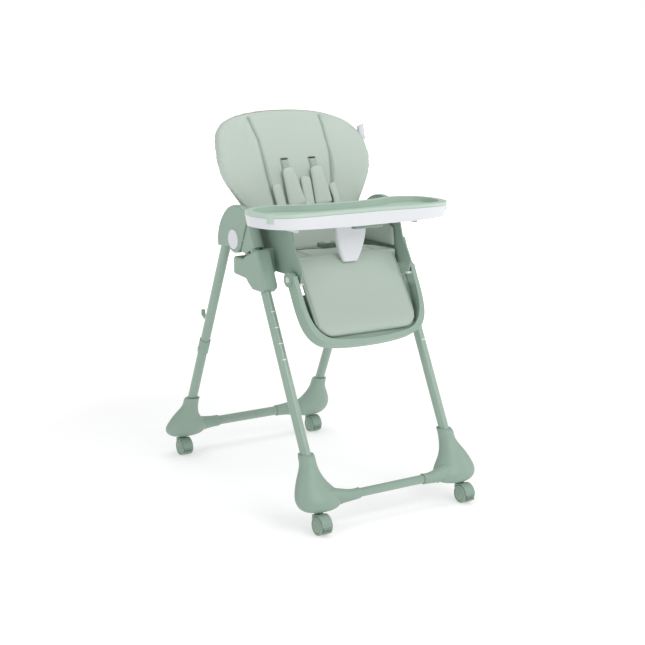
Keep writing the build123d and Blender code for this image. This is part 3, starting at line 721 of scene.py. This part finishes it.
def stitch_row(build, tree, path, side_step, spacing=0.0052, length=0.0034, radius=0.00042):
    """Short capsules that lie on the cover beside a seam."""
    path = [Vector(p) for p in path]
    travelled = 0.0
    due = spacing / 2
    for start, end in zip(path, path[1:]):
        run = end - start
        while due < travelled + run.length:
            spot = start + run.normalized() * (due - travelled) + Vector((side_step, 0, 0))
            found, normal, _, _ = tree.find_nearest(spot)
            along = (run - normal * run.dot(normal)).normalized()
            across = along.cross(normal)
            middle = found + normal * radius * 0.4
            rings = []
            for share, swell in ((-0.5, 0.35), (-0.25, 1), (0.25, 1), (0.5, 0.35)):
                centre = middle + along * length * share
                rings.append([build.verts.new(
                    centre + (across * math.cos(a) + normal * math.sin(a)) * radius * swell)
                    for a in (math.radians(60 * k) for k in range(6))])
            skin(build, rings)
            due += spacing
        travelled += run.length


stitches = bmesh.new()
for path in seam_paths:
    for side_step in (-0.0062, 0.0062):
        stitch_row(stitches, cover_tree, path, side_step)
bmesh.ops.recalc_face_normals(stitches, faces=stitches.faces)
sewing = new_piece("backrest_stitching", mesh_of(stitches), thread.material, "backrest")
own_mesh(sewing)

# ---- Harness -------------------------------------------------------------------
# Woven webbing comes out of two bound slots, runs under padded sleeves and down to the buckle; two short
# flaps and a middle strip lie beside the sleeves, and waist straps lie on the cushion.
webbing = Finish("harness_webbing", {"Sheen Weight": 0.15})
warp = webbing.node("ShaderNodeTexWave", {"bands_direction": "X"}, {
    "Vector": webbing.place(), "Scale": 260.0, "Distortion": 0.4})
weft = webbing.node("ShaderNodeTexWave", {"bands_direction": "Z"}, {
    "Vector": webbing.place(), "Scale": 200.0, "Distortion": 0.4})
webbing_weave = webbing.node("ShaderNodeSeparateColor", {}, {0: warp}) * 0.5 + webbing.node(
    "ShaderNodeSeparateColor", {}, {0: weft}) * 0.5
webbing.feed({
    "Base Color": webbing.mixed(shade(150, 166, 155), shade(176, 189, 179), webbing_weave),
    "Roughness": 0.62 + webbing_weave * 0.2,
})
webbing.relief(webbing_weave, 0.0003)
# Near-black finish for the strips at the slot mouths: painted shadow where the openings would be.
slot_shadow_paint = Finish("painted_slot_shadow", {"Roughness": 0.8})
slot_shadow_paint.feed({"Base Color": slot_shadow_paint.mixed(shade(40, 50, 45), shade(62, 74, 66), slot_shadow_paint.noise(500, 2))})


def down_the_back(x_top, z_top, x_low, z_low, count, proud):
    """Points down the front of the backrest cover."""
    path = []
    for step in range(count):
        share = step / (count - 1)
        x = x_top + (x_low - x_top) * share
        z = z_top + (z_low - z_top) * share
        spot, normal = on_front(cover_tree, x, z)
        path.append(spot + normal * proud)
    return path


def square_to(x_top, z_top, x_low, z_low):
    """The way across a strap that runs between two spots of the backrest."""
    return Vector((1, 0, -(x_low - x_top) / (z_low - z_top))).normalized()


webbing_thickness = 0.0016


def strip_on_back(x_top, z_top, x_low, z_low, half, proud):
    """A strap that lies down the backrest."""
    path = down_the_back(x_top, z_top, x_low, z_low, 22, proud)
    lean = square_to(x_top, z_top, x_low, z_low)
    return ribbon(path, [lean * half] * len(path), webbing_thickness)


def squarish(value, power):
    """A sine or cosine pushed out towards 1, which makes a round outline squarer."""
    return math.copysign(abs(value) ** power, value)


def sleeve(x_top, z_top, x_low, z_low, half_top, half_low, proud, thickness):
    """A padded sleeve: a rounded, crowned bar that lies on the strap."""
    rows, around = 26, 20
    spine = down_the_back(x_top, z_top, x_low, z_low, rows, proud + thickness / 2)
    build = bmesh.new()
    rings = []
    lean = square_to(x_top, z_top, x_low, z_low)
    for index, centre in enumerate(spine):
        share = index / (rows - 1)
        end = min(share, 1 - share) * (z_top - z_low)
        taper = math.sqrt(max(0.0, 1 - max(0.0, 1 - end / 0.012) ** 2))
        half = (half_top + (half_low - half_top) * share) * (0.45 + 0.55 * taper)
        thick = thickness / 2 * (0.25 + 0.75 * taper)
        run = (spine[min(index + 1, rows - 1)] - spine[max(index - 1, 0)]).normalized()
        out = run.cross(lean).normalized()
        if out.y > 0:
            out = -out
        ring = []
        for step in range(around):
            angle = 2 * math.pi * step / around
            wide = squarish(math.cos(angle), 0.7)
            deep = squarish(math.sin(angle), 0.9)
            ring.append(build.verts.new(centre + lean * half * wide + out * thick * deep))
        rings.append(ring)
    skin(build, rings)
    bmesh.ops.recalc_face_normals(build, faces=build.faces)
    return build


strap_low, strap_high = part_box("shoulder_straps")
slot_z = strap_high.z - 0.002
slot_x = (strap_high.x - strap_low.x) / 2 - 0.012
sleeve_low, sleeve_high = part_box("shoulder_pads")
shoulder = bmesh.new()
for x_top, x_low in ((-slot_x - 0.002, -0.036), (slot_x, 0.056)):
    add_to(shoulder, strip_on_back(x_top, slot_z, x_low, sleeve_low.z - 0.02, half=0.0105, proud=0.0022))
straps = new_piece("shoulder_webbing", mesh_of(shoulder), webbing.material, "backrest")
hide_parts("shoulder_straps")

sleeve_leather = leatherette("sleeve_leatherette", shade(184, 196, 186))
sleeves = bmesh.new()
for x_top, x_low in ((-0.046, -0.030), (0.047, 0.058)):
    add_to(sleeves, sleeve(
        x_top, sleeve_high.z - 0.002, x_low, sleeve_low.z - 0.006,
        half_top=0.0185, half_low=0.029, proud=0.0030, thickness=0.014))
shoulder_sleeves = new_piece("shoulder_sleeves", mesh_of(sleeves), sleeve_leather, "backrest")
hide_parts("shoulder_pads")

flaps = bmesh.new()
flap_bottom_z = 0.775
for x_top, x_low, z_top, half in (
        (-0.086, -0.076, 0.856, 0.015), (0.104, 0.110, 0.850, 0.012), (0.010, 0.012, 0.873, 0.017)):
    add_to(flaps, sleeve(x_top, z_top, x_low, flap_bottom_z, half, half, proud=0.0008, thickness=0.008))
harness_flaps = new_piece("harness_flaps", mesh_of(flaps), sleeve_leather, "backrest")

mouth_z = slot_z + 0.003
binding = bmesh.new()
for side in (-1, 1):
    slot_path = []
    for step in range(40):
        angle = 2 * math.pi * step / 40
        wide = 0.0125 * squarish(math.cos(angle), 0.6)
        tall = 0.0030 * squarish(math.sin(angle), 0.8)
        spot, normal = on_front(cover_tree, side * slot_x + wide, mouth_z + tall)
        slot_path.append(spot + normal * 0.0006)
    add_to(binding, tube_along(slot_path, radius=0.0011, closed=True, sides=8))
new_piece("slot_binding", mesh_of(binding), piping_vinyl, "backrest")
# A dark strip across each slot's mouth is painted shadow for the opening; the cover has no hole behind it.
slot_shadow_build = bmesh.new()
for side in (-1, 1):
    slot_shadow_path = []
    for step in range(9):
        spot, normal = on_front(cover_tree, side * slot_x - 0.0105 + 0.021 * step / 8, mouth_z)
        slot_shadow_path.append(spot + normal * 0.0004)
    add_to(slot_shadow_build, ribbon(slot_shadow_path, [Vector((0, 0, 0.0019))] * 9, thickness=0.0008))
new_piece("slot_shadow_strips", mesh_of(slot_shadow_build), slot_shadow_paint.material, "backrest")

# ---- Cover between cushion and backrest ----------------------------------------
# The cover runs on behind the cushion and up the foot of the backrest as one quilted fold. It is sewn to
# both.


def loft_pad(spine, half_of, thick_of, around, wide_power, deep_power):
    """A closed cushion form round a spine in the plane of symmetry."""
    build = bmesh.new()
    rings = []
    last = len(spine) - 1
    for index, middle in enumerate(spine):
        run = (spine[min(index + 1, last)] - spine[max(index - 1, 0)]).normalized()
        out = Vector((1, 0, 0)).cross(run).normalized()
        ring = []
        for step in range(around):
            angle = 2 * math.pi * step / around
            wide = squarish(math.cos(angle), wide_power)
            deep = squarish(math.sin(angle), deep_power)
            ring.append(build.verts.new(
                middle + Vector((half_of(index) * wide, 0, 0)) + out * thick_of(index) * deep))
        rings.append(ring)
    skin(build, rings)
    bmesh.ops.recalc_face_normals(build, faces=build.faces)
    return build


fold_spine = [Vector((0, -0.012 + 0.058 * share, 0.684 + 0.0495 * share ** 2.2))
              for share in [step / 16 for step in range(17)]]
fold_half = [0.148 - 0.004 * abs(step - 8) / 8 for step in range(17)]
fold_thick = [0.0075 * math.sqrt(max(0.1, 1 - (abs(step - 8) / 8) ** 3)) for step in range(17)]
cover_fold = placed("cover_fold", mesh_of(loft_pad(
    fold_spine, lambda i: fold_half[i], lambda i: fold_thick[i], around=72, wide_power=0.3, deep_power=0.7)))
cover_fold.data.materials.append(cover_leather)
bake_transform(cover_fold)

# ---- Waist straps and buckle ---------------------------------------------------
# The same webbing comes out of the cushion's back corners and lies on it as far as the moulded buckle.
# The buckle and its button are hard plastic, and the straps ride with the seat.
waist_low, waist_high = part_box("lap_straps")
buckle_low, buckle_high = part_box("buckle")
seat_tree = surface_of(seat_pad)
waist = bmesh.new()
for side in (-1, 1):
    waist_path = []
    for step in range(24):
        share = step / 23
        x = side * (waist_high.x - 0.004 + (buckle_high.x - 0.004 - waist_high.x) * share)
        y = waist_high.y - 0.012 + (buckle_low.y + 0.016 - waist_high.y + 0.012) * share ** 0.8
        under, _, _, _ = seat_tree.ray_cast(Vector((x, y, 1.2)), Vector((0, 0, -1)))
        lift = 0.0012 + 0.004 * math.sin(share * math.pi * 2.2) ** 2
        waist_path.append(Vector((x, y, max(under.z, waist_low.z) + lift)))
    add_to(waist, ribbon(waist_path, [Vector((0.002, 0.0115, 0))] * 24, webbing_thickness))
waist_webbing = new_piece("waist_webbing", mesh_of(waist), webbing.material, "seat")
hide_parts("lap_straps")
# A darker sage for the buckle; the tray latch below reuses it as painted shade.
buckle_and_latch_shade_plastic = moulded("buckle_and_latch_shade_plastic", toned(sage, 0.7), 0.38)
finish_node("buckle", buckle_and_latch_shade_plastic)
finish_node("buckle_button", white_plastic)

# ---- Footrest ------------------------------------------------------------------
# A moulded U-frame turns on two round buttons at the carriages. Its pad hangs from the cushion's front edge:
# the cover runs on from the seat.
finish_node("footrest_frame", sage_plastic)
for side in ("left", "right"):
    finish_node(f"footrest_button_{side}", white_plastic)

_, calf_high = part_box("calf_pad")
calf_half = calf_high.x
bend_y, bend_z = -0.1555, 0.6735
hang_forward, hang_down = 0.1270, 0.1865
calf_spine = [(-0.1400, 0.6800), (-0.1490, 0.6795), (bend_y, bend_z)]
for step in range(1, 41):
    share = step / 40
    calf_spine.append((bend_y - hang_forward * share, bend_z - hang_down * share))
spine_line = [Vector((0, y, z)) for y, z in calf_spine]
gone = [0.0]
for before, after in zip(spine_line, spine_line[1:]):
    gone.append(gone[-1] + (after - before).length)


def calf_half_of(index):
    """Half the pad's width, drawn in round its lower corners."""
    to_end = gone[-1] - gone[index]
    corner = 0.054
    return calf_half - corner + math.sqrt(max(0.0, corner ** 2 - max(0.0, corner - to_end - 0.0015) ** 2))


def calf_thick_of(index):
    """Half the pad's thickness, rounded off at both ends."""
    from_end = min(gone[-1] - gone[index], gone[index] * 2 + 0.004)
    return 0.0095 * math.sqrt(max(0.06, 1 - max(0.0, 1 - from_end / 0.016) ** 2))


calf_build = loft_pad(
    spine_line, calf_half_of, calf_thick_of, around=88, wide_power=0.32, deep_power=0.55)
calf_cover = placed("calf_cover", mesh_of(calf_build))
even = calf_cover.modifiers.new("Even skin", "REMESH")
even.mode = "VOXEL"
even.voxel_size = 0.005
even.use_smooth_shade = True
settle(calf_cover)
calf_points = points_of(calf_cover.data)
calf_seams = [[(side * (calf_half - 0.006), y - 0.006, z + 0.004) for y, z in calf_spine[2:36]]
              for side in (-1, 1)]
near_calf_seam = np.minimum(distance_to(calf_points, calf_seams[0]), distance_to(calf_points, calf_seams[1]))
calf_rear = normals_of(calf_cover.data)[:, 1] > 0.2
on_the_cushion = calf_points[:, 2] > 0.674
stuff(calf_cover, (near_calf_seam < 0.004) | calf_rear | on_the_cushion, pressure=3.0, reach=0.006)
press_seams(calf_cover, calf_seams, depth=0.0014, width=0.0038)
calf_cover.data.materials.clear()
# The calf cover is the seat's leatherette made darker: painted shade on the hanging pad.
shaded_calf_cover_finish = leatherette("calf_cover_painted_shade", shade(170, 184, 172))
calf_cover.data.materials.append(shaded_calf_cover_finish)
calf_cover.data.shade_smooth()
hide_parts("calf_pad")
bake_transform(calf_cover)


def rounded_block(size, centre, turn, radius):
    """A small moulded block with rounded edges, turned about the upright axis."""
    build = bmesh.new()
    bmesh.ops.create_cube(build, size=1.0)
    bmesh.ops.scale(build, vec=size, verts=build.verts)
    bmesh.ops.bevel(build, geom=build.edges[:], offset=radius, segments=3, profile=0.5, affect="EDGES")
    bmesh.ops.rotate(build, cent=(0, 0, 0), matrix=Matrix.Rotation(turn, 3, "Z"), verts=build.verts)
    bmesh.ops.translate(build, vec=centre, verts=build.verts)
    return build


# White tabs clip the pad's cover to the inner side of each arm.
frame_tree = surface_of(nodes["footrest_frame"])
tabs = bmesh.new()
for side in (-1, 1):
    spot, _, _, _ = frame_tree.ray_cast(Vector((0, -0.209, 0.623)), Vector((side, 0, 0)))
    centre = spot - Vector((side * 0.0065, 0, 0))
    add_to(tabs, rounded_block((0.015, 0.010, 0.006), centre, turn=0, radius=0.0012))
new_piece("calf_cover_tabs", mesh_of(tabs), white_plastic, "footrest")

# ---- Trays ---------------------------------------------------------------------
# The white tray slides on rails under the armrests and carries the crotch post and its latch. The green
# overlay snaps over its rim with clip tabs, one near each end of the front skirt.
tray_green = moulded("tray_green", shade(172, 193, 179), 0.34)
finish_node("tray_base", white_plastic)
finish_node("crotch_post", white_plastic)
# The latch takes the darker buckle sage as painted shade for its place under the tray.
finish_node("tray_latch", buckle_and_latch_shade_plastic)
finish_node("tray_overlay", tray_green)

base_tree = surface_of(nodes["tray_base"])
_, base_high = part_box("tray_base")
clips = bmesh.new()
for side in (-1, 1):
    spot, normal, _, _ = base_tree.find_nearest(Vector((side * 0.300, -0.246, base_high.z - 0.016)))
    turn = math.atan2(normal.x, -normal.y)
    centre = spot + normal * 0.0008 + Vector((0, 0, 0.006))
    add_to(clips, rounded_block((0.018, 0.0022, 0.024), centre, turn, radius=0.0009))
new_piece("overlay_clips", mesh_of(clips), tray_green, "tray_overlay")

# ---- Floor, light and camera ---------------------------------------------------
# A pale floor whose painted glow rises away from the chair, under four soft lights. The camera stands in
# front of the chair and a little above the tray.
bpy.context.scene.view_settings.view_transform = "Standard"
floor_finish = Finish("studio_floor", {"Roughness": 0.9, "Specular IOR Level": 0.1})
from_chair = floor_finish.node(
    "ShaderNodeVectorMath", {"operation": "LENGTH"}, {0: floor_finish.place()}, 1)
floor_finish.feed({
    "Base Color": floor_finish.mixed((0.58, 0.58, 0.585, 1), (0.6, 0.6, 0.605, 1), floor_finish.noise(2, 2)),
    # The floor glows as painted light: half strength near the chair, where shadows show, rising to full white
    # from 3 m out.
    "Emission Color": floor_finish.mixed((0.5, 0.5, 0.5, 1), (1, 1, 1, 1), from_chair.above(1.0, 2.0)),
    "Emission Strength": 1.0,
})
floor_build = bmesh.new()
bmesh.ops.create_circle(floor_build, cap_ends=True, segments=96, radius=40)
floor = placed("studio_floor", mesh_of(floor_build))
floor.data.materials.append(floor_finish.material)

world = bpy.data.worlds.new("studio")
world.use_nodes = True
world.node_tree.nodes["Background"].inputs["Color"].default_value = (1, 1, 1, 1)
world.node_tree.nodes["Background"].inputs["Strength"].default_value = 0.5
bpy.context.scene.world = world

# A plain white backdrop that only the eye sees: it lights nothing.
backdrop_white = Finish("backdrop_white", {
    "Base Color": (0, 0, 0, 1), "Specular IOR Level": 0.0,
    "Emission Color": (1, 1, 1, 1), "Emission Strength": 1.0})
dome_build = bmesh.new()
bmesh.ops.create_uvsphere(dome_build, u_segments=48, v_segments=24, radius=39)
backdrop = placed("studio_backdrop", mesh_of(dome_build))
backdrop.data.materials.append(backdrop_white.material)
backdrop.visible_diffuse = False
backdrop.visible_glossy = False
backdrop.visible_transmission = False
backdrop.visible_volume_scatter = False
backdrop.visible_shadow = False


def softbox(name, place, aim, size, power):
    light = bpy.data.lights.new(name, "AREA")
    light.shape = "RECTANGLE"
    light.size, light.size_y = size
    light.energy = power
    lamp = placed(name, light)
    lamp.location = place
    lamp.rotation_euler = (Vector(aim) - Vector(place)).to_track_quat("-Z", "Y").to_euler()


aim = (0, 0, 0.6)
softbox("key_softbox", (0.6, -3.2, 3.0), aim, (2.2, 2.2), 60)
softbox("top_softbox", (0.0, 0.6, 3.6), aim, (2.5, 2.5), 35)
softbox("strip_softbox", (3.2, -1.6, 1.4), aim, (0.6, 2.2), 18)
softbox("fill_softbox", (-3.2, -1.2, 1.5), aim, (0.8, 2.2), 15)

camera = placed("camera", bpy.data.cameras.new("camera"))
camera.data.sensor_width = 36.0
camera.data.lens = 74.6
right = Vector((0.84474, -0.53516, 0.00281))
up = Vector((0.11210, 0.18208, 0.97688))
back = right.cross(up)
camera.matrix_world = Matrix((
    (right.x, up.x, back.x, -1.9920), (right.y, up.y, back.y, -3.1809), (right.z, up.z, back.z, 1.2824),
    (0, 0, 0, 1)))
bpy.context.scene.camera = camera
